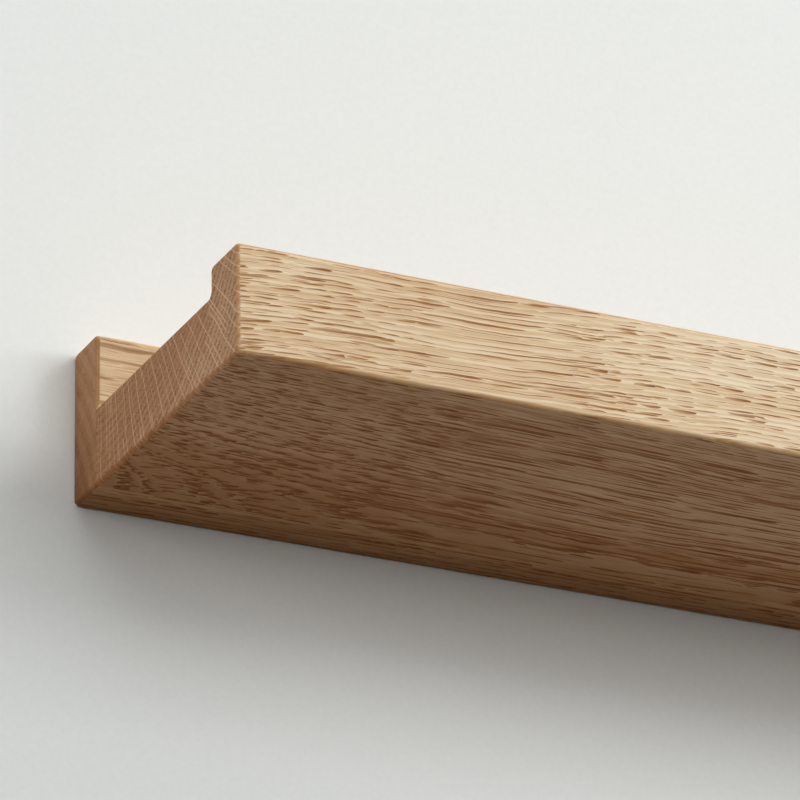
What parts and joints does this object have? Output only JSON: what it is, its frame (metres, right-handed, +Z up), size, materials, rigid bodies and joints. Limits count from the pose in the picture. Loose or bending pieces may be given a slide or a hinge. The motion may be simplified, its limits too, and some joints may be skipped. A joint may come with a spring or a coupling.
{
  "type": "picture ledge",
  "caption": "Wall-hung wooden picture ledge: a shallow tray with a raised front lip, joined to an upright rear board that hangs on wall screws.",
  "frame": {"origin": "middle of the rear face, which lies on the wall: half way along the ledge and half way up the rear board", "axes": "+Z up, +X along the ledge towards its right end as seen from the room, +Y out of the rear face into the wall; the ledge reaches to -Y"},
  "size_m": [0.6, 0.103, 0.043],
  "materials": {
    "oak": "oiled, fine sanded",
    "beech": "raw, fluted",
    "plate_steel": "bright zinc plated",
    "screw_steel": "yellow zinc plated"
  },
  "bodies": {
    "root": {"rear_board": "oak", "tray_board": "oak", "dowel_1": "beech", "dowel_2": "beech", "dowel_3": "beech", "dowel_4": "beech", "dowel_5": "beech", "dowel_6": "beech", "hanger_plate_left": "plate_steel", "hanger_plate_right": "plate_steel", "plate_screws_left": "screw_steel", "plate_screws_right": "screw_steel"}
  },
  "joints": []
}
